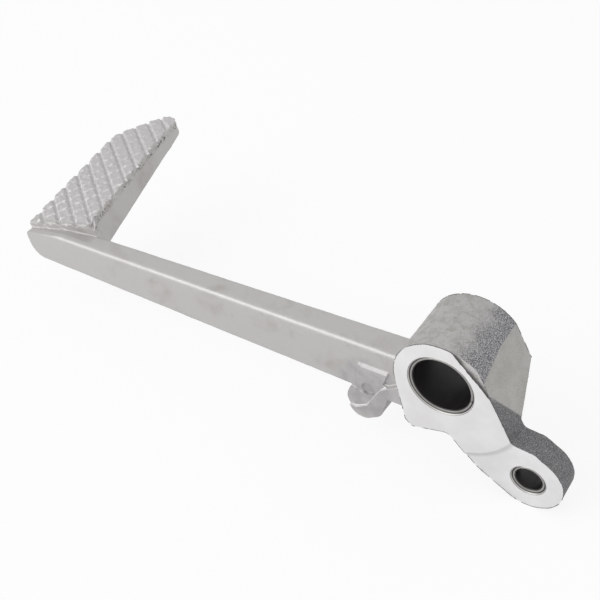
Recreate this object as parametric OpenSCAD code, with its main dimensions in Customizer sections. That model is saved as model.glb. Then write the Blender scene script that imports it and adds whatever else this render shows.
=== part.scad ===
// Rear brake pedal: one aluminium casting with a toothed toe pad, and two plain steel bushes.
// X runs rearward, Y outward along the pivot, Z up. The origin is the pivot centre on the inboard face.

/* [Pivot boss] */
// Bore in the casting that takes the pivot bush
pivot_seat_d = 20; // [14:0.5:23]
// Outside diameter of the boss
boss_d = 29.8; // [27:0.2:36]
// Length of the boss along the pivot
boss_l = 24; // [16:0.5:40]
// Chamfer at both ends of each bush seat
seat_chamfer = 0.5; // [0.2:0.1:1]
// Depth of the flat where the gate was fettled off the rear of the boss
gate_flat = 0.4; // [0.1:0.1:1]
// Angle of that flat and of the lever flank below it, from the vertical
flank_angle = 24.6; // [15:0.5:32]
// Width of the cast crescent that the facing cut leaves at the upper rear edge of the boss
skin_w = 2.7; // [1.5:0.1:3.5]
// Drop of the crescent at its outer edge
skin_drop = 0.5; // [0.2:0.1:1]
// Angle of the crescent's middle above the rearward horizontal
skin_angle = 42; // [30:1:60]

/* [Master cylinder lever] */
// Distance between the pivot and the link eye
link_reach = 37; // [33:0.5:46]
// Angle of the link eye below the rearward horizontal
link_angle = 43.4; // [38:0.5:52]
// Thickness of the lever plate
plate_t = 8.5; // [6:0.5:12]
// Bore in the link eye that takes the small bush
link_seat_d = 10; // [6:0.5:12]
// Outside diameter of the link eye
eye_d = 21; // [18:0.5:24]
// Radius of the facing cut round the pivot, which ends in a fine step on the lever
facing_r = 24.6; // [20:0.2:27]
// Height of that step
facing_step = 0.3; // [0.1:0.1:0.6]
// Width of the ramp that the step runs out in
facing_ramp = 1.4; // [0.4:0.2:3]
// Thickness of the rib that ties the outboard end of the boss to the lever
rib_t = 7; // [4:0.5:10]
// Drop of the rib's corner at the outboard end of the boss, along the flank
rib_drop = 8.6; // [6:0.2:12]
// Drop of the plate's front corner below the boss
corner_drop = 5.6; // [4:0.2:8]
// Set-back of that corner from the front of the boss
corner_setback = 3.4; // [2:0.2:5]
// Depth of the waist below the boss, between the front corner and the link eye
waist_drop = 2.8; // [1:0.2:4.4]

/* [Bushes] */
// Wall of the wrapped pivot bush
pivot_bush_wall = 1; // [0.8:0.1:2.5]
// Wall of the link bush
link_bush_wall = 1; // [0.8:0.1:2]
// Depth of each bush end below the casting's face
bush_sink = 0.4; // [0.1:0.1:1]
// Width of the split seam along the pivot bush
seam_w = 0.3; // [0.2:0.1:1]
// Angle of the seam below the rearward horizontal
seam_angle = 12; // [0:1:180]

/* [Arm] */
// Forward reach from the pivot to the nose of the arm
arm_reach = 172; // [150:1:200]
// Set-back of the arm's inboard face from the boss face
arm_inset = 5.2; // [3:0.2:7]
// Height of the arm's top face against the pivot centre
arm_top = -0.6; // [-4:0.2:2]
// Depth of the arm at the boss
arm_root_h = 20; // [16:0.5:26]
// Depth of the arm at the pad
arm_tip_h = 13.4; // [10:0.2:17]
// Width of the arm at the boss
arm_root_w = 10; // [7:0.5:13]
// Width of the arm at the pad
arm_tip_w = 6.8; // [5:0.2:9]
// Radius on the arm's long edges
arm_edge_r = 1.2; // [0.4:0.2:2.4]
// Radius of the nose below the pad
nose_r = 8; // [4:0.5:11]

/* [Toe pad] */
// Outward length of the toothed block from the arm's outer face
pad_l = 67; // [50:1:90]
// Width of the pad where it leaves the arm
pad_root_w = 27.6; // [22:0.2:34]
// Width of the pad at its outer corner
pad_tip_w = 23.4; // [18:0.2:32]
// Forward sweep of the pad against the pivot axis
pad_sweep = 6.5; // [0:0.5:15]
// Pitch of the pad, rising to the rear
pad_pitch = 9.2; // [0:0.2:15]
// Rise of the pad, from the arm to the tip
pad_rise = 5.2; // [0:0.2:12]
// Thickness of the pad at its tip, without the teeth
pad_tip_t = 3.6; // [2.5:0.1:6]
// Radius of the pad's tip
pad_tip_r = 5.6; // [3:0.1:5.8]
// Overhang of the pad's front edge past the nose of the arm
nose_overhang = 1; // [0:0.1:3]

/* [Teeth] */
// Pitch of the square tooth pattern
tooth_pitch = 5.5; // [4:0.1:8]
// Height of the teeth, down to the main grooves
tooth_h = 2.1; // [1:0.1:3]
// Land between the main grooves, on the crest of each row of teeth
tooth_land = 1.8; // [0.4:0.1:2.6]
// Share of that depth that the cross grooves reach
cross_depth = 0.55; // [0.3:0.05:1]

/* [Spring lug] */
// Distance of the lug's dimple forward of the pivot
lug_x = 27.2; // [24:0.2:40]
// Depth of the dimple's centre below the arm's top face
lug_drop = 16.9; // [14:0.2:20]
// Height of the lug's rim above the arm's inboard face
lug_proud = 1.8; // [0.8:0.1:2.5]
// Depth of the lug's face below that rim
lug_pocket = 0.8; // [0.3:0.1:1.2]
// Diameter of the dimple
dimple_d = 5; // [3:0.5:6]
// Depth of the dimple
dimple_depth = 0.9; // [0.5:0.1:3]

/* [Hidden] */
$fn = 96;

boss_r = boss_d / 2;
eye_r = eye_d / 2;
eye = link_reach * [cos(link_angle), -sin(link_angle)];
flat_r = boss_r - gate_flat;
flank_n = [cos(flank_angle), sin(flank_angle)];
flank_dir = [sin(flank_angle), -cos(flank_angle)];
eps = 0.01;

// Plane geometry
function unit(v) = v / norm(v);
function arc(c, r, a0, a1, step = 8) =
    let(n = max(2, ceil(abs(a1 - a0) / step)))
    [for (i = [0:n]) c + r * [cos(a0 + (a1 - a0) * i / n), sin(a0 + (a1 - a0) * i / n)]];
function signed(a) = a > 180 ? a - 360 : a < -180 ? a + 360 : a;
// One rounded corner between the neighbours a and b
function corner(a, p, b, r) =
    let(u = unit(a - p), v = unit(b - p), half = acos(u * v) / 2,
        c = p + unit(u + v) * r / sin(half),
        s = p + u * r / tan(half) - c, e = p + v * r / tan(half) - c,
        a0 = atan2(s[1], s[0]), a1 = a0 + signed(atan2(e[1], e[0]) - a0))
    arc(c, r, a0, a1);
// Outline from points [x, y, radius]; a radius of 0 stays a sharp corner
function rounded(pts) =
    let(n = len(pts))
    [for (i = [0:n - 1])
        let(p = pts[i], a = pts[(i + n - 1) % n], b = pts[(i + 1) % n])
        each p[2] == 0 ? [[p[0], p[1]]]
            : corner([a[0], a[1]], [p[0], p[1]], [b[0], b[1]], p[2])];
function xyr(p, r) = [p[0], p[1], r];
// Where the tangent from p touches the circle; side is 1 or -1
function tangent(c, r, p, side) =
    let(d = p - c, a = atan2(d[1], d[0]) + side * acos(r / norm(d)))
    c + r * [cos(a), sin(a)];

// Extrudes an outline drawn in X and Z from y0 to y1 along the pivot
module along_pivot(y0, y1)
    translate([0, y1, 0])
        rotate([90, 0, 0])
            linear_extrude(y1 - y0)
                children();

// A bush seat with its two lead-in chamfers
module seat(d, length) {
    cylinder(h = length, d = d);
    for (end = [0, 1])
        translate([0, 0, end * length])
            mirror([0, 0, end])
                translate([0, 0, -eps])
                    cylinder(h = seat_chamfer + eps, d1 = d + 2 * (seat_chamfer + eps), d2 = d);
}

// Points of the lever plate, all tied to the boss and the eye
shoulder = eye + [1.4, eye_r + 1.1];
flank_l = (flat_r * flank_n[1] - shoulder[1] - 0.6) / cos(flank_angle);
flank_foot = flat_r * flank_n + flank_l * flank_dir;
front_corner = [-boss_r + corner_setback, -boss_r - corner_drop];
waist = [2, -boss_r - waist_drop];
elbow = eye - [1.5 * eye_r, 2.4];

module plate_outline() {
    circle(boss_r);
    translate(eye)
        circle(eye_r);
    polygon(rounded([
        [0, 0, 0],
        xyr(tangent([0, 0], boss_r, front_corner, -1), 0),
        xyr(front_corner + [-0.4, 1.8], 0.8),
        xyr(front_corner + [1.6, -0.3], 0.8),
        xyr(waist, 3),
        xyr(elbow, 14),
        xyr(tangent(eye, eye_r, elbow, 1), 0),
        xyr(eye, 0),
        xyr(tangent(eye, eye_r, shoulder, -1), 0),
        xyr(shoulder, 3),
        xyr(flank_foot, 1.6),
        xyr(flat_r * flank_n, 0)
    ]));
}

// Rib from the outboard end of the boss down the flank to the back of the plate
module flank_rib() {
    rib_foot = flank_l - 2.6;
    rotate([0, -flank_angle, 0])
        translate([flat_r - rib_t, 0, 0])
            rotate([90, 0, 90])
                linear_extrude(rib_t)
                    polygon([
                        [plate_t - 1, 2],
                        [boss_l, 2],
                        [boss_l, -rib_drop],
                        [plate_t, -rib_foot],
                        [plate_t - 1, -rib_foot]
                    ]);
}

// Boss and lever plate before the bores are cut
module boss_and_plate() {
    difference() {
        union() {
            rotate([-90, 0, 0])
                cylinder(h = boss_l, r = boss_r);
            along_pivot(0, plate_t)
                plate_outline();
        }
        // flat left where the gate was fettled off
        rotate([0, -flank_angle, 0])
            translate([flat_r, -1, -rib_drop])
                cube([boss_r, boss_l + 2, boss_r + rib_drop]);
        // cast skin under the level of the facing cut
        rotate([0, -skin_angle, 0])
            translate([boss_r - skin_w, 0, -boss_r])
                rotate([0, 0, atan(skin_drop / skin_w)])
                    translate([0, -3, 0])
                        cube([8, 3, 2 * boss_r]);
        // the eye's face lies a fine step behind the boss face, past a narrow ramp
        difference() {
            translate([0, -1, eye[1] - 2 * eye_r])
                cube([eye[0] + 2 * eye_r, 1 + facing_step, 2 * eye_r - eye[1]]);
            rotate([-90, 0, 0]) {
                translate([0, 0, -2])
                    cylinder(h = 2, r = facing_r);
                cylinder(h = facing_step, r1 = facing_r, r2 = facing_r + facing_ramp);
            }
        }
    }
    flank_rib();
}

// Ends of the arm's tapered long edges, from the boss to the pad
floor_root = arm_top - arm_root_h;
floor_tip = arm_top - arm_tip_h;
outer_root = arm_inset + arm_root_w;
outer_tip = arm_inset + arm_tip_w;
nose_drop = 2.5;
nose_slope_l = 17;

// Side view of the arm, with its round nose and the slope that meets the pad
module arm_side()
    polygon(rounded([
        [0, arm_top, 0],
        [-arm_reach + nose_slope_l, arm_top, 8],
        [-arm_reach, arm_top - nose_drop, 1],
        [-arm_reach, floor_tip, nose_r],
        [0, floor_root, 0]
    ]));

// Top view of the arm, tapering toward the pad
module arm_plan()
    polygon([
        [0, arm_inset],
        [0, outer_root],
        [-arm_reach - 1, outer_tip],
        [-arm_reach - 1, arm_inset]
    ]);

// Cutter that rounds a long edge running from p to q; out points away from the arm in Y and Z
module edge_round(p, q, out) {
    r = arm_edge_r;
    d = q - p;
    translate(p)
        rotate([0, 0, atan2(d[1], d[0])])
            rotate([0, -atan2(d[2], norm([d[0], d[1]])), 0])
                rotate([90, 0, 90])
                    translate([0, 0, -5])
                        linear_extrude(norm(d) + 10)
                            scale([-out[0], out[1]])
                                polygon(concat(
                                    [[1, -r], [1, 1], [-r, 1]],
                                    arc([-r, -r], r, 90, 0, 18)
                                ));
}

module arm() {
    near_r = [-2, arm_inset, 0];
    near_t = [-arm_reach, arm_inset, 0];
    far_r = [-2, outer_root, 0];
    far_t = [-arm_reach, outer_tip, 0];
    top = [0, 0, arm_top];
    difference() {
        intersection() {
            along_pivot(0, 2 * outer_root)
                arm_side();
            translate([0, 0, floor_root - 1])
                linear_extrude(arm_root_h + 2)
                    arm_plan();
        }
        edge_round(near_r + top, near_t + top, [-1, 1]);
        edge_round(far_r + top, far_t + top, [1, 1]);
        edge_round(near_r + [0, 0, floor_root], near_t + [0, 0, floor_tip], [-1, -1]);
        edge_round(far_r + [0, 0, floor_root], far_t + [0, 0, floor_tip], [1, -1]);
    }
}

// Toe pad, in a frame on the pad's own plane with a tooth centred on its origin
pattern_shift = [2.85, 2.1];
block_y0 = pattern_shift[1] - pad_l / 2;
block_y1 = pattern_shift[1] + pad_l / 2;
centre_shift = -pattern_shift[0];
pad_slope_x = tan(pad_pitch) * cos(pad_sweep) - tan(pad_rise) * sin(pad_sweep) / cos(pad_pitch);
pad_slope_y = tan(pad_pitch) * sin(pad_sweep) + tan(pad_rise) * cos(pad_sweep) / cos(pad_pitch);
nose_to_pad = [
    (pad_root_w / 2 - centre_shift - nose_overhang) * cos(pad_pitch) + block_y0 * sin(pad_sweep),
    arm_tip_w - block_y0 * cos(pad_sweep) * cos(pad_rise)
];
pad_centre = [
    nose_to_pad[0] - arm_reach,
    nose_to_pad[1] + arm_inset,
    arm_top - nose_drop + nose_to_pad[0] * pad_slope_x + nose_to_pad[1] * pad_slope_y
];

module pad_frame()
    translate(pad_centre)
        rotate([pad_rise, -pad_pitch, pad_sweep])
            children();

module pad_outline() {
    root_front = centre_shift - pad_root_w / 2;
    root_rear = centre_shift + pad_root_w / 2;
    tip_front = centre_shift - pad_tip_w / 2;
    tip_rear = centre_shift + pad_tip_w / 2;
    fillet_w = 3;
    polygon(rounded([
        [root_front, block_y0 - 2, 0],
        [tip_front, block_y1 - 14, 4],
        [tip_front + 0.32 * pad_tip_w, block_y1 - 7, 9],
        [tip_rear - 4.6, block_y1, pad_tip_r],
        [tip_rear + 0.7, block_y1 - 3, 0.7 * pad_tip_r],
        [tip_rear, block_y1 - 15, 8],
        [root_rear, block_y0 + fillet_w, fillet_w],
        [root_rear + fillet_w, block_y0, 0],
        [root_rear + fillet_w, block_y0 - 2, 0]
    ]));
}

// Thickness of the pad below its tooth roots: full depth at the arm, thin at the tip
module pad_wedge()
    rotate([90, 0, 90])
        linear_extrude(2 * pad_l, center = true)
            polygon(rounded([
                [block_y0 - 4, tooth_h, 0],
                [block_y0 - 4, -arm_tip_h + 1.5, 0],
                [block_y1 - 12, -pad_tip_t - 2.2, 30],
                [block_y1 + 2, -pad_tip_t + 1, 0],
                [block_y1 + 2, tooth_h, 0]
            ]));

// V grooves at 45 degrees to the pad: deep ones between the rows of teeth, shallower ones across
module grooves(side, depth) {
    half = (tooth_pitch - tooth_land) / 2;
    count = ceil((pad_l + pad_root_w) / tooth_pitch / 2.6);
    for (i = [-count:count])
        rotate([0, 0, side * 45])
            translate([(i + 0.5) * tooth_pitch, 0, tooth_h - depth])
                rotate([90, 0, 0])
                    linear_extrude(2 * pad_l, center = true)
                        polygon([
                            [0, 0],
                            [half * 2, tooth_h * 2],
                            [-half * 2, tooth_h * 2]
                        ]);
}

module toe_pad()
    pad_frame()
        difference() {
            intersection() {
                translate([0, 0, -arm_root_h])
                    linear_extrude(arm_root_h + tooth_h)
                        pad_outline();
                pad_wedge();
            }
            grooves(1, tooth_h);
            grooves(-1, tooth_h * cross_depth);
        }

// Lug below the arm for the return spring, drawn about its dimple: a proud rim round the foot
// that runs on to the boss, and a lower face that ramps up from the arm
module lug_foot()
    polygon(rounded([
        [-4.4, 4, 0],
        [-8.4, -6.2, 5],
        [-4, -14.2, 4.5],
        [4.4, -9.2, 5],
        [7.4, -0.6, 1.5],
        [6.6, 4, 0]
    ]));

module lug_rim()
    polygon(rounded([
        [-9, -9, 0],
        [-4.4, -8.8, 1],
        [-0.6, -6.6, 2],
        [2, -2.4, 8],
        [5, 2.6, 4],
        [10.4, 6.2, 2],
        [13, 6.8, 0],
        [13, -0.3, 0],
        [9, -16, 0],
        [-9, -16, 0]
    ]));

module lug_face()
    polygon(rounded([
        [-3, 10.4, 1],
        [8, 11, 1],
        [5, 3, 0],
        [2, -2.4, 0],
        [-5.4, -2.4, 0]
    ]));

module spring_lug() {
    rim_y = arm_inset - lug_proud;
    face_y = rim_y + lug_pocket;
    front_ramp = 3.6;
    top_ramp = 0.9;
    translate([-lug_x, 0, arm_top - lug_drop])
        difference() {
            union() {
                along_pivot(face_y, arm_inset + 4.5)
                    lug_foot();
                along_pivot(rim_y, face_y + 1)
                    intersection() {
                        lug_rim();
                        union() {
                            lug_foot();
                            translate([4, -0.3])
                                square([9, 8]);
                        }
                    }
                along_pivot(face_y, arm_inset + 1)
                    lug_face();
            }
            // ramps from the arm's face to the lug's, in front of it and above it
            translate([-1.8, face_y, -2])
                rotate([0, 0, -atan((arm_inset - face_y) / front_ramp)])
                    translate([-2 * front_ramp, -2, 0])
                        cube([2 * front_ramp, 2, 20]);
            translate([-10, face_y, 8.9])
                rotate([atan((face_y - arm_inset) / top_ramp), 0, 0])
                    translate([0, -2, 0])
                        cube([20, 2, 3]);
            // dimple with a sloped wall
            translate([0, face_y - eps, 0])
                rotate([-90, 0, 0])
                    cylinder(h = dimple_depth + eps, d1 = dimple_d, d2 = dimple_d - dimple_depth);
        }
}

// The casting, with its seats bored
module lever()
    color("silver")
        difference() {
            union() {
                boss_and_plate();
                arm();
                toe_pad();
                spring_lug();
            }
            rotate([-90, 0, 0])
                seat(pivot_seat_d, boss_l);
            translate([eye[0], facing_step, eye[1]])
                rotate([-90, 0, 0])
                    seat(link_seat_d, plate_t - facing_step);
        }

// A plain bush with broken edges, standing on z = 0
module bush(d, wall, length)
    rotate_extrude()
        polygon([
            [d / 2 - wall, wall / 3],
            [d / 2 - wall * 2 / 3, 0],
            [d / 2 - wall / 4, 0],
            [d / 2, wall / 4],
            [d / 2, length - wall / 4],
            [d / 2 - wall / 4, length],
            [d / 2 - wall * 2 / 3, length],
            [d / 2 - wall, length - wall / 3]
        ]);

// Wrapped steel bush, split along its length
module pivot_bush()
    color("dimgray")
        difference() {
            translate([0, bush_sink, 0])
                rotate([-90, 0, 0])
                    bush(pivot_seat_d, pivot_bush_wall, boss_l - 2 * bush_sink);
            rotate([0, seam_angle, 0])
                translate([pivot_seat_d / 2 - pivot_bush_wall - 1, -1, -seam_w / 2])
                    cube([pivot_bush_wall + 3, boss_l + 2, seam_w]);
        }

module link_bush()
    color("dimgray")
        translate([eye[0], facing_step + bush_sink, eye[1]])
            rotate([-90, 0, 0])
                bush(link_seat_d, link_bush_wall, plate_t - facing_step - 2 * bush_sink);

lever();
pivot_bush();
link_bush();
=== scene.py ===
import math

import bmesh
import bpy
from mathutils import Matrix, Vector, noise


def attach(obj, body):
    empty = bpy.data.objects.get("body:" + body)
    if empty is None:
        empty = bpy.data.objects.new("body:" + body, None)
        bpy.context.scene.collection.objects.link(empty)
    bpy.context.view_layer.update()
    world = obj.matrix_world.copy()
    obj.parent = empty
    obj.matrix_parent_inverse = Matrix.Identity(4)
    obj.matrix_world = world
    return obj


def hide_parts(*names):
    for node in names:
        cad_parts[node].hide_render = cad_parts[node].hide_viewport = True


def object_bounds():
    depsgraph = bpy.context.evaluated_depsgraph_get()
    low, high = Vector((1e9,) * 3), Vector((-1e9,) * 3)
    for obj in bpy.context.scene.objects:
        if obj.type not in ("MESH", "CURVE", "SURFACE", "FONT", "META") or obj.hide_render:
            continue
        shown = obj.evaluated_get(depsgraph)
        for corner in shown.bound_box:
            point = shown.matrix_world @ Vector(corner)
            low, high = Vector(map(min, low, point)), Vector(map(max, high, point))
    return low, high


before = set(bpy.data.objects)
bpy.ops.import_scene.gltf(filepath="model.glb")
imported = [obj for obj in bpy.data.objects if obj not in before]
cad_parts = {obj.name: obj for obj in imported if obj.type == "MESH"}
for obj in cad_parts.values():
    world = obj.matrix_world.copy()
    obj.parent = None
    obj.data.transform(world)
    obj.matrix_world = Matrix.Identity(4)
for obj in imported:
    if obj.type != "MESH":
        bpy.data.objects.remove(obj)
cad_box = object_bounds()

# The casting is aluminium, poured in a steel mould: a grainy skin, soft edges and soft teeth.
# Its two boss faces and its link eye are faced afterwards, and both seats are bored through.
# It is made the same way here: a blank with stock on it is softened, then machined.
mm = 0.001
boss_length = 24 * mm
seat_radius = 10 * mm
eye_seat_radius = 5 * mm
plate_back = 8.5 * mm
eye_face = 0.3 * mm
eye_facing_start = 24.6 * mm
eye_facing_ramp = 1.4 * mm
faced_reach = 60 * mm
seat_chamfer = 0.5 * mm
pivot_centre = Vector((0, 0, 0))
eye_centre = Vector((26.883 * mm, 0, -25.422 * mm))
stock = 1.2 * mm
tool_clearance = 4 * mm
flat = 0.9999
nearly_flat = 0.97
grain_of_mould = 0.2 * mm
skin_passes = 2
kept_triangles = 0.16


def plug_hole(blank, centre, radius, length):
    """Closes a cored hole with solid metal, so that the blank is cast without it."""
    turn = Matrix.Rotation(-math.pi / 2, 4, "X")
    middle = Matrix.Translation(centre + Vector((0, length / 2, 0)))
    bmesh.ops.create_cone(blank, cap_ends=True, segments=64, radius1=radius, radius2=radius,
                          depth=length + stock, matrix=middle @ turn)


def cast_blank():
    """The CAD form with machining stock on its faced ends and no holes."""
    blank = bmesh.new()
    blank.from_mesh(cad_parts["lever"].data)
    bmesh.ops.remove_doubles(blank, verts=blank.verts, dist=mm / 1000)
    blank.normal_update()
    for side, level in ((-1, eye_face), (1, boss_length)):
        faced = []
        for face in blank.faces:
            middle = face.calc_center_median()
            from_pivot = math.hypot(middle.x, middle.z)
            flat_enough = nearly_flat if from_pivot > eye_facing_start - mm else flat
            if (face.normal.y * side > flat_enough and middle.y * side > level * side - mm / 20
                    and from_pivot < faced_reach):
                faced.append(face)
        grown = bmesh.ops.extrude_face_region(blank, geom=faced)
        tops = [part for part in grown["geom"] if isinstance(part, bmesh.types.BMVert)]
        bmesh.ops.delete(blank, geom=faced, context="FACES_ONLY")
        bmesh.ops.translate(blank, verts=tops, vec=(0, side * stock, 0))
    plug_hole(blank, pivot_centre, seat_radius + mm, boss_length)
    plug_hole(blank, eye_centre, eye_seat_radius + mm, plate_back)
    mesh = bpy.data.meshes.new("casting")
    blank.to_mesh(mesh)
    blank.free()
    return mesh


def with_modifiers(name, mesh, *steps):
    """The mesh after the given modifiers, as a new mesh."""
    rough = bpy.data.objects.new(name, mesh)
    bpy.context.scene.collection.objects.link(rough)
    for kind, settings in steps:
        step = rough.modifiers.new(kind.lower(), kind)
        for setting, value in settings.items():
            setattr(step, setting, value)
    bpy.context.view_layer.update()
    done = rough.evaluated_get(bpy.context.evaluated_depsgraph_get())
    result = bpy.data.meshes.new_from_object(done)
    bpy.data.objects.remove(rough)
    return result


def keep_in_box(mesh):
    """Brings what stands proud of the pedal's overall size back to it."""
    for vertex in mesh.vertices:
        vertex.co = [min(high, max(low, value)) for low, high, value in zip(*cad_box, vertex.co)]


def turned_tool(name, centre, outline):
    """A form tool: its outline of (radius, depth) pairs, spun about the pivot's direction."""
    tool = bmesh.new()
    profile = [tool.verts.new((radius, depth, 0)) for radius, depth in outline]
    edges = [tool.edges.new(pair) for pair in zip(profile, profile[1:])]
    bmesh.ops.spin(tool, geom=profile + edges, axis=(0, 1, 0), cent=(0, 0, 0),
                   angle=2 * math.pi, steps=144, use_merge=True)
    bmesh.ops.remove_doubles(tool, verts=tool.verts, dist=mm / 1000)
    bmesh.ops.recalc_face_normals(tool, faces=tool.faces)
    bmesh.ops.translate(tool, verts=tool.verts, vec=centre)
    mesh = bpy.data.meshes.new(name)
    tool.to_mesh(mesh)
    tool.free()
    cutter = bpy.data.objects.new(name, mesh)
    bpy.context.scene.collection.objects.link(cutter)
    return cutter


chamfered_seat = seat_radius + seat_chamfer
chamfered_eye_seat = eye_seat_radius + seat_chamfer
outboard_tool_radius = 24 * mm
boss_tool_end = 27 * mm
eye_tool_end = 12 * mm
boss_tool = turned_tool("boss_tool", pivot_centre, [
    (0, -tool_clearance), (faced_reach, -tool_clearance), (faced_reach, eye_face),
    (eye_facing_start + eye_facing_ramp, eye_face), (eye_facing_start, 0),
    (chamfered_seat, 0), (seat_radius, seat_chamfer),
    (seat_radius, boss_length - seat_chamfer), (chamfered_seat, boss_length),
    (outboard_tool_radius, boss_length), (outboard_tool_radius, boss_tool_end),
    (0, boss_tool_end)])
eye_tool = turned_tool("eye_tool", eye_centre, [
    (0, -tool_clearance), (chamfered_eye_seat, -tool_clearance), (chamfered_eye_seat, eye_face),
    (eye_seat_radius, eye_face + seat_chamfer), (eye_seat_radius, plate_back - seat_chamfer),
    (chamfered_eye_seat, plate_back), (chamfered_eye_seat, eye_tool_end), (0, eye_tool_end)])
mould_waviness = bpy.data.textures.new("mould_waviness", "CLOUDS")
mould_waviness.noise_scale = 7 * mm
mould_waviness.noise_depth = 2
mould_wear = bpy.data.textures.new("mould_wear", "CLOUDS")
mould_wear.noise_scale = 1.1 * mm
mould_wear.noise_depth = 1

# The toe pad's teeth stand in rows at 45 degrees to the pad. In the mould that made this one the
# grooves had silted up: flat broad rows with narrow grooves between them, and cross grooves that
# are plain to see beside the arm and fade toward the tip.
pad_to_world = Matrix.Translation(Vector((-160.106, 43.070, 2.853)) * mm) @ (
    Matrix.Rotation(math.radians(6.5), 4, "Z") @ Matrix.Rotation(math.radians(-9.2), 4, "Y")
    @ Matrix.Rotation(math.radians(5.2), 4, "X"))
world_to_pad = pad_to_world.inverted()
tooth_height = 2.1 * mm
tooth_pitch = 5.5 * mm
new_row_groove = (1.85 * mm, 2.1 * mm)
new_cross_groove = (1.02 * mm, 1.155 * mm)
worn_row_groove = (0.95 * mm, 1.05 * mm)
worn_cross_half_width = 0.8 * mm
worn_cross_depth = 0.8 * mm
faded_depth = 0.5 * mm
crumbling = 0.3 * mm
diagonal = 0.7071
rear_of_pad = -130 * mm
pad_root = -33.7 * mm
pad_rear = 11.5 * mm
pad_reach = 67 * mm
skin_below_teeth = 1.5 * mm
flash = 0.9 * mm
flash_start = -1.2 * mm
flash_ramp = 0.8 * mm


def groove(across, half_width, depth):
    """Depth of the nearest groove of a row of V grooves, at a distance across the rows."""
    off_groove = abs(across % tooth_pitch - tooth_pitch / 2)
    return max(0, depth * (1 - off_groove / half_width))


def silt_up(mesh):
    """Redraws the teeth as the worn mould gave them, with ragged flash along the rear edge."""
    rearward = [vertex.normal.x for vertex in mesh.vertices]
    for vertex, faces_rear in zip(mesh.vertices, rearward):
        if vertex.co.x > rear_of_pad:
            continue
        spot = world_to_pad @ vertex.co
        if spot.z < -skin_below_teeth or spot.y < pad_root or spot.x > pad_rear:
            continue
        rows, crossing = (spot.x + spot.y) * diagonal, (spot.x - spot.y) * diagonal
        fade = min(1, max(0, (spot.y - pad_root) / pad_reach))
        sharp = tooth_height - max(groove(rows, *new_row_groove),
                                   groove(crossing, *new_cross_groove))
        worn = tooth_height - max(groove(rows, *worn_row_groove),
                                  groove(crossing, worn_cross_half_width,
                                         worn_cross_depth - faded_depth * fade))
        worn += crumbling * (noise.noise(spot / (1.6 * mm)) - 0.5)
        share = min(1, (spot.z + skin_below_teeth) / (sharp + skin_below_teeth))
        if faces_rear > 0.5 and spot.z > flash_start:
            ragged_edge = max(0, 0.35 + 1.3 * noise.noise(spot / (1.3 * mm)))
            spot.x += flash * min(1, (spot.z - flash_start) / flash_ramp) * ragged_edge
        spot.z += (worn - sharp) * share
        vertex.co = pad_to_world @ spot


casting_mesh = with_modifiers(
    "casting", cast_blank(),
    ("REMESH", {"mode": "VOXEL", "voxel_size": grain_of_mould, "use_smooth_shade": True}),
)
silt_up(casting_mesh)
casting_mesh = with_modifiers(
    "casting", casting_mesh,
    ("SMOOTH", {"factor": 0.5, "iterations": skin_passes}),
    ("DISPLACE", {"texture": mould_waviness, "strength": 0.16 * mm, "mid_level": 0.5}),
    ("DISPLACE", {"texture": mould_wear, "strength": 0.12 * mm, "mid_level": 0.5}),
    ("DECIMATE", {"ratio": kept_triangles}),
)
casting_mesh = with_modifiers(
    "casting", casting_mesh,
    ("BOOLEAN", {"operation": "DIFFERENCE", "object": boss_tool, "solver": "MANIFOLD"}),
    ("BOOLEAN", {"operation": "DIFFERENCE", "object": eye_tool, "solver": "MANIFOLD"}),
)
keep_in_box(casting_mesh)
for tool in (boss_tool, eye_tool):
    bpy.data.objects.remove(tool)
casting = bpy.data.objects.new("casting", casting_mesh)
bpy.context.scene.collection.objects.link(casting)
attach(casting, "root")
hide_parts("lever")


class Wire:
    """One socket of a shader, so that masks and grains are written as sums and products."""

    def __init__(self, socket):
        self.socket = socket
        self.tree = socket.id_data

    def node(self, kind, settings, values, out=0):
        made = self.tree.nodes.new(kind)
        for name, value in settings.items():
            setattr(made, name, value)
        for name, value in values.items():
            if isinstance(value, Wire):
                self.tree.links.new(value.socket, made.inputs[name])
            else:
                made.inputs[name].default_value = value
        return Wire(made.outputs[out])

    def maths(self, operation, first, second):
        return self.node("ShaderNodeMath", {"operation": operation}, {0: first, 1: second})

    def __add__(self, other):
        return self.maths("ADD", self, other)

    def __radd__(self, other):
        return self.maths("ADD", other, self)

    def __sub__(self, other):
        return self.maths("SUBTRACT", self, other)

    def __rsub__(self, other):
        return self.maths("SUBTRACT", other, self)

    def __mul__(self, other):
        return self.maths("MULTIPLY", self, other)

    def __rmul__(self, other):
        return self.maths("MULTIPLY", other, self)

    def __truediv__(self, other):
        return self.maths("DIVIDE", self, other)

    def __pow__(self, other):
        return self.maths("POWER", self, other)

    def parts(self):
        """The X, Y and Z of this vector."""
        return [self.node("ShaderNodeSeparateXYZ", {}, {"Vector": self}, out=axis)
                for axis in "XYZ"]

    def between(self, low, high):
        """0 below low, 1 above high and a smooth ramp from one to the other."""
        return self.node("ShaderNodeMapRange", {"interpolation_type": "SMOOTHSTEP"},
                         {"Value": self, "From Min": low, "From Max": high}, out="Result")

    def blend(self, first, second):
        """The first colour where this mask is 0, the second where it is 1."""
        return self.node("ShaderNodeMix", {"data_type": "RGBA"},
                         {"Factor": self, 6: first, 7: second}, out=2)

    def noise(self, size, detail=2.0, roughness=0.5, distortion=0.0):
        """Cloudy grain on this vector, from 0 to 1, whose patches are about size metres across."""
        return self.node("ShaderNodeTexNoise", {}, {
            "Vector": self, "Scale": 1 / size, "Detail": detail,
            "Roughness": roughness, "Distortion": distortion})


def finish_of(name):
    """A new material: its own shader and the place of each point on the object."""
    material = bpy.data.materials.new(name)
    material.use_nodes = True
    shader = material.node_tree.nodes["Principled BSDF"]
    place = material.node_tree.nodes.new("ShaderNodeTexCoord").outputs["Object"]
    return material, shader, Wire(place)


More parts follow.
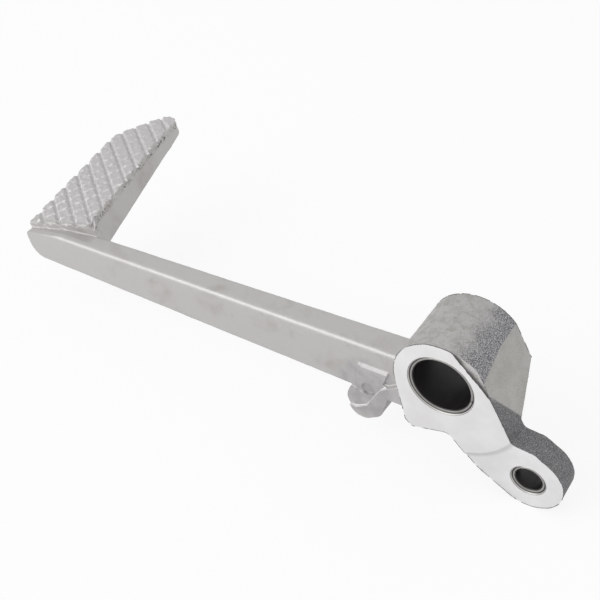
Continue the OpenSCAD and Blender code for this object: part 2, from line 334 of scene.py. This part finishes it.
def feed(shader, **wires):
    """Joins wires to a shader's inputs, named with _ for each space."""
    for name, wire in wires.items():
        shader.id_data.links.new(wire.socket, shader.inputs[name.replace("_", " ")])


def bumped(height, distance):
    """A normal for a skin whose grain of the given height stands distance metres deep."""
    return height.node("ShaderNodeBump", {}, {
        "Height": height, "Distance": distance, "Strength": 1.0}, out="Normal")


def off_axis(x, z, centre):
    """Distance from a line through the centre along the pivot's direction."""
    return ((x - centre.x) ** 2 + (z - centre.z) ** 2) ** 0.5


# The cast skin: shot-blasted, coarse and dark-speckled round the boss and on the lever's rim,
# finer on the arm and the pad, with grey handling smudges, and painted light and shade laid over
# it.
pale_skin = (0.585, 0.572, 0.565, 1)
coarse_skin = (0.56, 0.56, 0.57, 1)
stained_skin = (0.47, 0.455, 0.43, 1)
rim_skin = (0.34, 0.34, 0.34, 1)
pit_skin = (0.13, 0.13, 0.14, 1)
smudge = (0.48, 0.455, 0.44, 1)
lug_shaded_skin = (0.46, 0.445, 0.45, 1)
lug_shaded_pale = (0.55, 0.535, 0.54, 1)
lug_rim_highlight = (0.76, 0.75, 0.74, 1)
lug_shade = (0.32, 0.31, 0.315, 1)
crest_sheen = (0.60, 0.585, 0.59, 1)
row_light = (0.70, 0.69, 0.69, 1)
flash_shadow_dark = (0.20, 0.195, 0.18, 1)
root_shade = (0.50, 0.49, 0.485, 1)
fettled = (0.58, 0.57, 0.555, 1)
fettled_dull = (0.42, 0.41, 0.39, 1)
painted_edge_highlight = (0.62, 0.61, 0.60, 1)
burr_shade_line = (0.13, 0.125, 0.12, 1)
flank_rear, flank_up = 0.9092, 0.4163
lug_centre = Vector((-27.2 * mm, 0, -17.5 * mm))
cast_skin, shader, place = finish_of("cast_skin")
shader.inputs["Metallic"].default_value = 0.85
x, y, z = place.parts()
rearness, frontness, upness = place.node("ShaderNodeNewGeometry", {}, {}, out="Normal").parts()
patches = place.noise(5 * mm, 3.0, 0.6)
streaks = place.noise(14 * mm, 4.0, 0.65, 0.4).between(0.5, 0.8)
blast = place.noise(0.31 * mm, 2.0, 0.6)
fine_blast = place.noise(0.2 * mm, 1.0, 0.5)
pits = blast.between(0.40, 0.62)
mottle = place.noise(2.4 * mm, 4.0, 0.7).between(0.42, 0.62)
ragged = place.noise(0.9 * mm, 3.0, 0.65)

# Where each kind of skin lies: the fettled flank of the boss, the coarse skin round it, the lug
# painted darker as painted shade, with a painted highlight on its rim and painted shade on the
# upward faces round its dimple, and a painted highlight along the arm's top edge.
near_boss = x.between(-17 * mm, -11 * mm)
down_flank = x * flank_up - z * flank_rear
ground = (
    (rearness * flank_rear + upness * flank_up).between(0.985, 0.999)
    * (y - 0.6 * down_flank + 1.7 * mm).between(-0.4 * mm, 0.4 * mm)
    * (down_flank + 0.22 * y + 0.3 * mm).between(-0.4 * mm, 0.4 * mm))
upper_left = (rearness - upness + 0.5 * patches).between(0.15, -0.6) * x.between(16 * mm, 13 * mm)
coarse = (near_boss * (1 - 0.7 * ground) * (1 - 0.8 * upper_left)
          * frontness.between(-0.95, -0.6))
on_rim = x.between(13 * mm, 17 * mm)
front_ramp = near_boss * frontness.between(-0.94, -0.975)
off_dimple = off_axis(x, z, lug_centre)
# Painted shade: the lug is painted darker than the arm, with paler patches in it.
shaded_lug = (off_dimple + 4 * mm * patches).between(15 * mm, 10 * mm)
# Painted highlight: a bright line on the edge of the lug's raised rim.
lit_lug_rim = (
    frontness.between(-0.97, -0.86) * upness.between(-0.05, 0.2)
    * off_dimple.between(2.6 * mm, 2.9 * mm) * (x - z).between(-11.5 * mm, -9 * mm))
ledge = upness.between(0.3, 0.7) * off_dimple.between(5.5 * mm, 4.5 * mm)
# Painted highlight: a light, ragged band along the arm's top near edge, where its normal faces the
# lamp.
arm_edge_highlight = (
    (upness * diagonal - frontness * diagonal + 0.7 * ragged + 0.2 * blast).between(1.10, 1.42)
    * x.between(-190 * mm, -50 * mm) * z.between(-6 * mm, -4 * mm) * y.between(7.8 * mm, 6.6 * mm))

# The same on the pad, as painted light and shade: the crests painted lighter where they face up, a
# painted highlight on the lit side of each row, painted shadow in the notches below the flash, and
# painted shade on the step at the pad's root.
pad_up = world_to_pad[2]
lit_side = pad_to_world.to_3x3() @ Vector((-diagonal, -diagonal, 0))
above_root = x * pad_up[0] + y * pad_up[1] + z * pad_up[2] + pad_up[3]
on_pad = x.between(-138 * mm, -142 * mm) * y.between(11 * mm, 13 * mm)
# Painted light: crests that face up are painted a little lighter and free of smudges.
crests = on_pad * upness.between(0.75, 0.93)
row_edges = (
    on_pad * above_root.between(0.4 * mm, 0.9 * mm)
    * (rearness * lit_side.x + frontness * lit_side.y + upness * lit_side.z).between(0.2, 0.5))
# Painted shadow: dark notches under the ragged flash along the pad's rear wall.
flash_shadow_notches = (
    on_pad * rearness.between(0.3, 0.6) * ragged.between(0.48, 0.6) * patches.between(0.38, 0.58)
    * above_root.between(-1.8 * mm, -0.6 * mm) * above_root.between(1.0 * mm, 0.2 * mm))
root_step = (
    x.between(-140 * mm, -144 * mm) * y.between(7.2 * mm, 8.2 * mm)
    * y.between(12.5 * mm, 11.5 * mm) * upness.between(0.1, 0.4)
    * above_root.between(0.1 * mm, -0.4 * mm))

# Each layer covers the ones before it.
tone = streaks.blend(pale_skin, smudge)
lug_shaded_tone = patches.between(0.35, 0.65).blend(lug_shaded_skin, lug_shaded_pale)
fettled_tone = (patches * 0.5 + blast * 0.9).between(0.45, 0.95).blend(fettled_dull, fettled)
for mask, layer in (
        (shaded_lug, lit_lug_rim.blend(lug_shaded_tone, lug_rim_highlight)),
        (ledge, lug_shade),
        (near_boss * mottle, stained_skin),
        (front_ramp, mottle.blend(coarse_skin, fettled_dull)),
        (coarse, pits.blend(pit_skin, on_rim.blend(coarse_skin, rim_skin))),
        (arm_edge_highlight, painted_edge_highlight),
        (crests, crest_sheen),
        (row_edges, row_light),
        (flash_shadow_notches, flash_shadow_dark),
        (root_step, root_shade),
        (ground * near_boss, fettled_tone),
        # Painted shade: a dark line on the cast skin along each faced edge, together with the
        # burr.
        (y.between(0.35 * mm, 0.1 * mm), burr_shade_line)):
    tone = mask.blend(tone, layer)
feed(shader, Base_Color=tone, Roughness=0.5 + 0.1 * patches + 0.06 * pits,
     Normal=bumped(blast * (0.25 + 1.5 * coarse) + 0.4 * fine_blast + 1.2 * patches, 0.07 * mm))
casting_mesh.materials.clear()
casting_mesh.materials.append(cast_skin)

# The faced ends and the eye, milled and turned bright: almost white, with faint turned rings
# about the pivot, and a grey line painted where the tool runs out toward the eye, a painted shade
# on the facing's ramp.
faced_bright = (0.91, 0.905, 0.915, 1)
faced_dull = (0.84, 0.83, 0.83, 1)
runout_shade_grey = (0.60, 0.595, 0.59, 1)
turns_per_metre = 2600
machined, shader, place = finish_of("machined_face")
shader.inputs["Metallic"].default_value = 0.85
x, _, z = place.parts()
radius = (x * x + z * z) ** 0.5
ring = place.node("ShaderNodeCombineXYZ", {}, {
    "X": radius * turns_per_metre, "Y": x / radius * 2, "Z": z / radius * 2})
rings = ring.node("ShaderNodeTexNoise", {}, {"Vector": ring, "Scale": 1.0, "Detail": 2.0})
wash = place.noise(11 * mm, 3.0, 0.55)
# Painted shade: a grey ring on the facing's ramp, where the tool runs out.
runout_shade = (radius.between(24.2 * mm, 24.7 * mm) * radius.between(26.4 * mm, 25.1 * mm)
          * (0.35 + 0.65 * wash))
tone = wash.between(0.3, 0.7).blend(faced_bright, faced_dull)
feed(shader, Base_Color=runout_shade.blend(tone, runout_shade_grey), Roughness=0.34 + 0.1 * rings,
     Normal=bumped(rings, 0.008 * mm))
casting_mesh.materials.append(machined)

# The seats' walls and chamfers, reamed: the walls painted near black where the bushes went in, a
# painted shade in the gap round them, and the chamfers lighter.
gap_shade_black = ((0.05, 0.045, 0.04, 1), (0.14, 0.13, 0.12, 1))
bright_chamfer = ((0.40, 0.39, 0.38, 1), (0.66, 0.65, 0.64, 1))
reamed, shader, place = finish_of("reamed_seat")
shader.inputs["Metallic"].default_value = 0.85
seat_mottle = place.noise(2.5 * mm, 3.0, 0.6)
x, _, z = place.parts()
chamfer = 0
for centre, seat in ((pivot_centre, seat_radius), (eye_centre, eye_seat_radius)):
    off_seat = off_axis(x, z, centre) - seat
    chamfer = chamfer + (off_seat.between(0.1 * mm, 0.18 * mm)
                         * off_seat.between(0.5 * mm, 0.4 * mm))
feed(shader, Base_Color=chamfer.blend(seat_mottle.blend(*gap_shade_black), seat_mottle.blend(*bright_chamfer)),
     Roughness=0.4 + 0.15 * seat_mottle)
casting_mesh.materials.append(reamed)

# The slots in order: cast skin, machined face, reamed seat.
for polygon in casting_mesh.polygons:
    middle = polygon.center
    from_pivot = Vector((middle.x, 0, middle.z)).length
    from_eye = Vector((middle.x - eye_centre.x, 0, middle.z - eye_centre.z)).length
    on_face = abs(polygon.normal.y) > flat and min(
        abs(middle.y - level) for level in (0, eye_face, boss_length)) < mm / 200
    on_ramp = (polygon.normal.y < -nearly_flat and 0 <= middle.y <= eye_face
               and 0 <= from_pivot - eye_facing_start < eye_facing_ramp)
    if on_face or on_ramp:
        polygon.material_index = 1
    elif from_pivot < chamfered_seat or from_eye < chamfered_eye_seat:
        polygon.material_index = 2
casting_mesh.set_sharp_from_angle(angle=math.radians(38))

# The cutters leave a hairline burr round what they faced, broken in places; it is painted dark, a
# painted shade along the faced edges.
burr_radius = 0.11 * mm
broken_below = -0.22
burr_shade_dark = (0.05, 0.045, 0.04, 1)
burr_shade_grey = (0.24, 0.235, 0.23, 1)
outline = bmesh.new()
outline.from_mesh(casting_mesh)
wire = bpy.data.curves.new("facing_burr", "CURVE")
wire.dimensions = "3D"
wire.bevel_depth = burr_radius
wire.bevel_resolution = 0
for edge in outline.edges:
    if sorted(face.material_index for face in edge.link_faces) != [0, 1]:
        continue
    ends = [corner.co for corner in edge.verts]
    if noise.noise((ends[0] + ends[1]) / (6 * mm)) < broken_below:
        continue
    strand = wire.splines.new("POLY")
    strand.points.add(1)
    for point, end in zip(strand.points, ends):
        point.co = (*end, 1)
        point.radius = 0.75 + 0.9 * abs(noise.noise(end / (1.5 * mm)))
outline.free()
strands = bpy.data.objects.new("strands", wire)
bpy.context.scene.collection.objects.link(strands)
bpy.context.view_layer.update()
drawn_burr = strands.evaluated_get(bpy.context.evaluated_depsgraph_get())
burr_mesh = bpy.data.meshes.new_from_object(drawn_burr)
bpy.data.objects.remove(strands)
keep_in_box(burr_mesh)
burr = bpy.data.objects.new("facing_burr", burr_mesh)
bpy.context.scene.collection.objects.link(burr)
# The burr's dark finish is painted shade along the faced edges.
burr_shade_finish, shader, place = finish_of("burr_shade_finish")
shader.inputs["Metallic"].default_value = 0.7
burr_mottle = place.noise(1.2 * mm, 2.0, 0.6)
feed(shader, Base_Color=burr_mottle.between(0.35, 0.65).blend(burr_shade_dark, burr_shade_grey),
     Roughness=0.45 + 0.2 * burr_mottle)
burr_mesh.materials.clear()
burr_mesh.materials.append(burr_shade_finish)
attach(burr, "root")

# The two bushes are plain steel, wrapped or turned, pressed in just below the faces: grey
# worn ends, and walls painted near black, a painted shade inside the bores, over traces of the
# drawing tool.
pivot_bore = 9 * mm
link_bore = 4 * mm
bore_shade_black = ((0.008, 0.007, 0.007, 1), (0.02, 0.018, 0.018, 1))
bush_end = ((0.28, 0.27, 0.26, 1), (0.50, 0.49, 0.48, 1))
bush_steel, shader, place = finish_of("bush_steel")
across = place.node("ShaderNodeMapping", {}, {"Vector": place, "Scale": (1, 0.08, 1)})
drawn = across.noise(0.5 * mm, 3.0, 0.6)
bush_mottle = place.noise(3 * mm, 3.0, 0.6)
x, _, z = place.parts()
end_ring = 0
for centre, bore in ((pivot_centre, pivot_bore), (eye_centre, link_bore)):
    off_wall = off_axis(x, z, centre) - bore
    end_ring = end_ring + (off_wall.between(0.16 * mm, 0.36 * mm)
                           * off_wall.between(2.2 * mm, 2 * mm))
feed(shader, Base_Color=end_ring.blend(bush_mottle.blend(*bore_shade_black), bush_mottle.blend(*bush_end)),
     Metallic=end_ring, Roughness=0.28 + 0.2 * drawn, Normal=bumped(drawn, 0.015 * mm))
for bush in ("pivot_bush", "link_bush"):
    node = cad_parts[bush]
    node.data.materials.clear()
    node.data.materials.append(bush_steel)

# The studio: a white table that runs out of the picture, one large soft lamp high at the front
# left, and a plain grey room, which the bright metal picks up and the camera sees as white.
table_white = (0.86, 0.86, 0.86, 1)
table_glow = 0.86
room_light = 0.78
room_glow = 0.2
table_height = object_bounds()[0][2]
paper, shader, place = finish_of("table_paper")
shader.inputs["Roughness"].default_value = 0.9
shader.inputs["Base Color"].default_value = table_white
tree = paper.node_tree
glow = place.node("ShaderNodeEmission", {}, {"Color": (1, 1, 1, 1), "Strength": 1.0})
seen = place.node("ShaderNodeLightPath", {}, {}, out="Is Camera Ray")
cover = seen.node("ShaderNodeMixShader", {}, {
    0: table_glow * seen, 1: Wire(shader.outputs[0]), 2: glow})
tree.links.new(cover.socket, tree.nodes["Material Output"].inputs["Surface"])
table = bmesh.new()
bmesh.ops.create_grid(table, x_segments=1, y_segments=1, size=3.0,
                      matrix=Matrix.Translation((0, 0, table_height)))
table_mesh = bpy.data.meshes.new("table")
table.to_mesh(table_mesh)
table.free()
table_mesh.materials.append(paper)
table_top = bpy.data.objects.new("table", table_mesh)
bpy.context.scene.collection.objects.link(table_top)

room = bpy.data.worlds.new("room")
room.use_nodes = True
walls = room.node_tree.nodes["Background"]
walls.inputs["Color"].default_value = (1, 1, 1, 1)
seen = Wire(walls.outputs[0]).node("ShaderNodeLightPath", {}, {}, out="Is Camera Ray")
feed(walls, Strength=room_light + room_glow * seen)
bpy.context.scene.world = room

lamp_distance = 1.1
away = Vector((-0.48, -0.64, 0.60)).normalized()
middle_of_pedal = Vector((-0.07, 0.02, -0.01))
soft_box = bpy.data.lights.new("front_lamp", "AREA")
soft_box.size = 0.9
soft_box.energy = 5
lamp = bpy.data.objects.new("front_lamp", soft_box)
bpy.context.scene.collection.objects.link(lamp)
lamp.matrix_world = (Matrix.Translation(middle_of_pedal + away * lamp_distance)
                     @ away.to_track_quat("Z", "Y").to_matrix().to_4x4())

# The camera stands where the photograph was taken from: close, above and behind the pedal,
# on its inboard side.
camera_place = Vector((94.91, -174.98, 200.54)) * mm
looks_along = Vector((-0.4813, 0.6014, -0.6377)).normalized()
picture_down = Vector((0.2834, -0.5816, -0.7625))
back = -looks_along
up = (-picture_down - back * -picture_down.dot(back)).normalized()
right = up.cross(back)
lens = bpy.data.cameras.new("camera")
lens.sensor_width = 36
lens.lens = 60
lens.clip_start = 0.01
camera = bpy.data.objects.new("camera", lens)
bpy.context.scene.collection.objects.link(camera)
turned = Matrix((right, up, back)).transposed().to_4x4()
camera.matrix_world = Matrix.Translation(camera_place) @ turned
bpy.context.scene.camera = camera
bpy.context.scene.view_settings.view_transform = "Standard"
